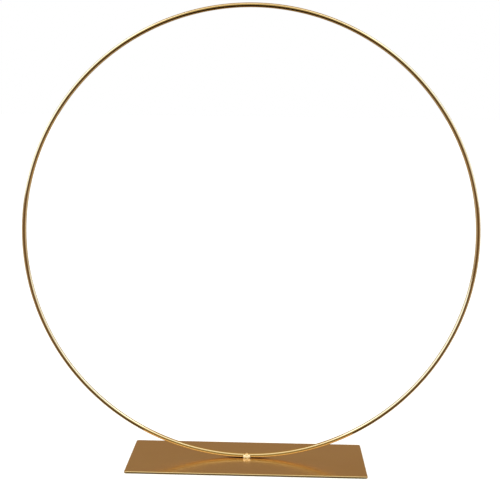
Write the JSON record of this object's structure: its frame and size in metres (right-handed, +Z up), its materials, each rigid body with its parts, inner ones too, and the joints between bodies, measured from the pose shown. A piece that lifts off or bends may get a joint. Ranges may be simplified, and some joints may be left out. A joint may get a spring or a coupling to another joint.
{
  "type": "wreath frame",
  "caption": "Standing wreath frame: a round wire hoop welded upright on a flat rectangular foot, for a table-top wreath or ring garland.",
  "frame": {"origin": "centre of the base plate's underside, which rests on the table", "axes": "+X along the plate and the hoop's plane, +Y across the plate to the rear, +Z up through the hoop"},
  "size_m": [0.4, 0.08, 0.402],
  "materials": {
    "gold_wire": "gloss",
    "gold_plate": "satin",
    "gold_weld": "gloss"
  },
  "bodies": {
    "root": {"hoop": "gold_wire", "base_plate": "gold_plate", "front_weld": "gold_weld", "rear_weld": "gold_weld", "seam_weld": "gold_weld"}
  },
  "joints": []
}
